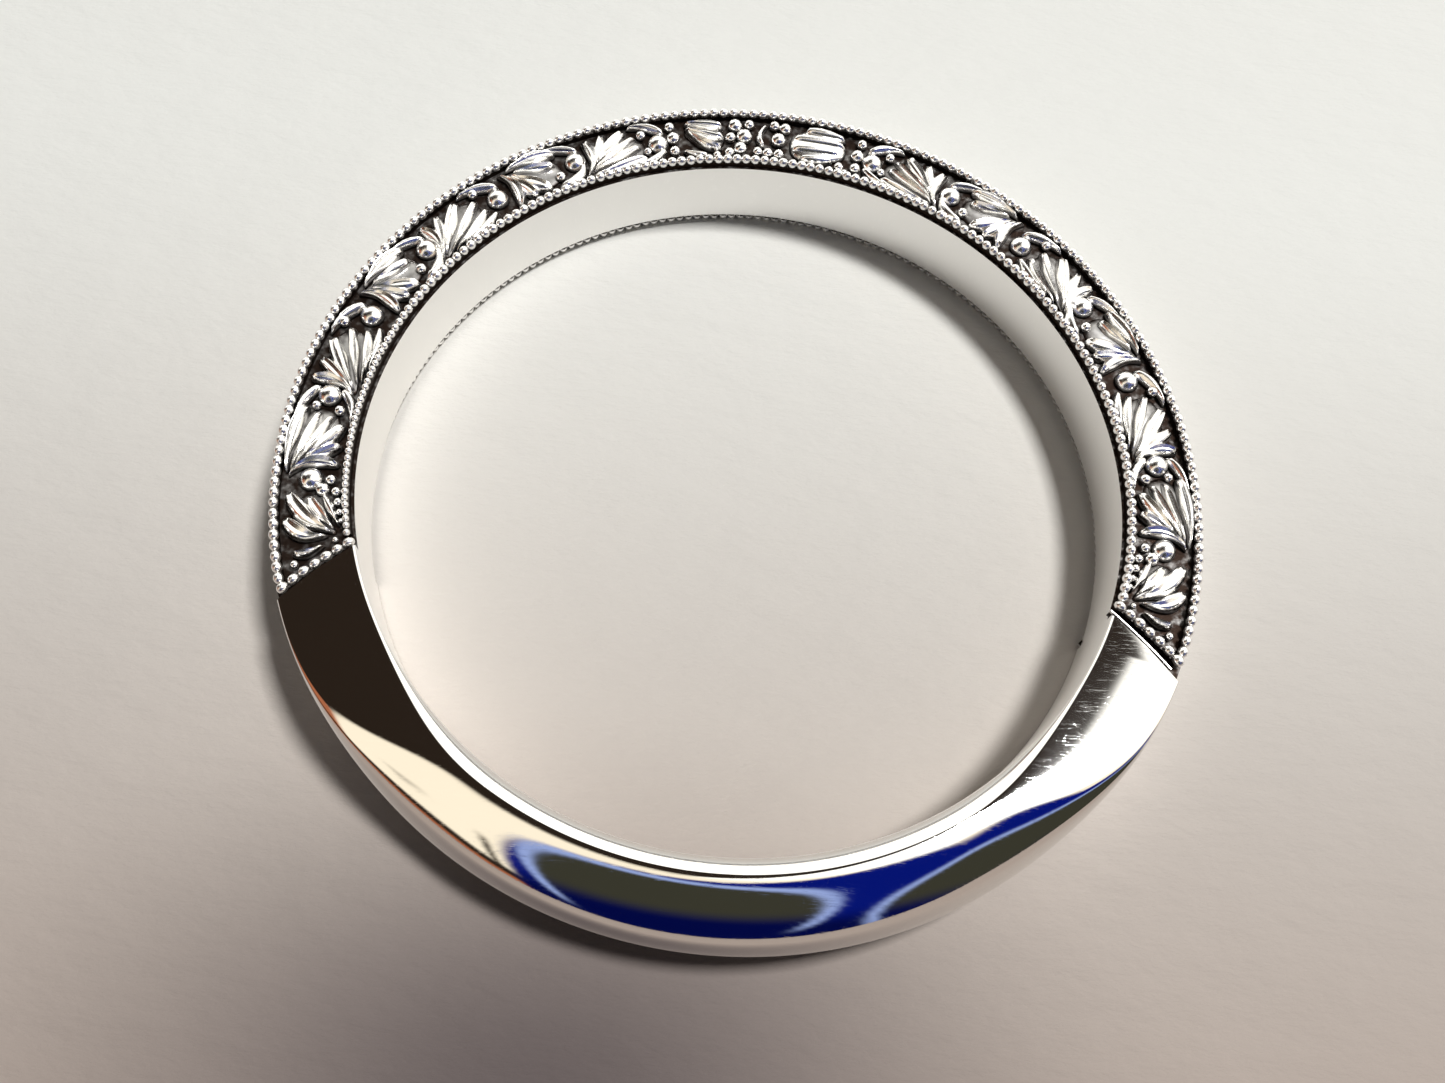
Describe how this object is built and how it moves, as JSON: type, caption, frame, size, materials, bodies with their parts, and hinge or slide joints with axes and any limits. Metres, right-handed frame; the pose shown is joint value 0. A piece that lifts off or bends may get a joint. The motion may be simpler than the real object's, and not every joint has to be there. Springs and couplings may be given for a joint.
{
  "type": "wedding band",
  "caption": "Slim white metal wedding band: sides engraved with scroll leaves inside beaded borders over most of the hoop, and a plain shank that turns to a dome opposite.",
  "frame": {"origin": "on the axis of the finger hole, at the plane of the lower side face that the band lies on", "axes": "+Z along the finger hole's axis, up through the upper side face; +Y towards the crown, the middle of the decorated stretch; the plain domed shank is at -Y"},
  "size_m": [0.02, 0.0199, 0.0023],
  "materials": {
    "polished_metal": "high polish",
    "engraved_metal": "bright cut"
  },
  "bodies": {
    "root": {"hoop": "polished_metal", "milgrain_inner_upper": "engraved_metal", "milgrain_outer_upper": "engraved_metal", "crown_fan_upper": "engraved_metal", "crown_knot_upper": "engraved_metal", "crown_leaf_upper": "engraved_metal", "milgrain_end_upper_right": "engraved_metal", "end_leaf_upper_right": "engraved_metal", "scroll_upper_right_1": "engraved_metal", "scroll_upper_right_2": "engraved_metal", "scroll_upper_right_3": "engraved_metal", "scroll_upper_right_4": "engraved_metal", "scroll_upper_right_5": "engraved_metal", "scroll_upper_right_6": "engraved_metal", "scroll_upper_right_7": "engraved_metal", "milgrain_end_upper_left": "engraved_metal", "end_leaf_upper_left": "engraved_metal", "scroll_upper_left_1": "engraved_metal", "scroll_upper_left_2": "engraved_metal", "scroll_upper_left_3": "engraved_metal", "scroll_upper_left_4": "engraved_metal", "scroll_upper_left_5": "engraved_metal", "scroll_upper_left_6": "engraved_metal", "scroll_upper_left_7": "engraved_metal", "milgrain_inner_lower": "engraved_metal", "milgrain_outer_lower": "engraved_metal", "crown_fan_lower": "engraved_metal", "crown_knot_lower": "engraved_metal", "crown_leaf_lower": "engraved_metal", "milgrain_end_lower_right": "engraved_metal", "end_leaf_lower_right": "engraved_metal", "scroll_lower_right_1": "engraved_metal", "scroll_lower_right_2": "engraved_metal", "scroll_lower_right_3": "engraved_metal", "scroll_lower_right_4": "engraved_metal", "scroll_lower_right_5": "engraved_metal", "scroll_lower_right_6": "engraved_metal", "scroll_lower_right_7": "engraved_metal", "milgrain_end_lower_left": "engraved_metal", "end_leaf_lower_left": "engraved_metal", "scroll_lower_left_1": "engraved_metal", "scroll_lower_left_2": "engraved_metal", "scroll_lower_left_3": "engraved_metal", "scroll_lower_left_4": "engraved_metal", "scroll_lower_left_5": "engraved_metal", "scroll_lower_left_6": "engraved_metal", "scroll_lower_left_7": "engraved_metal"}
  },
  "joints": []
}
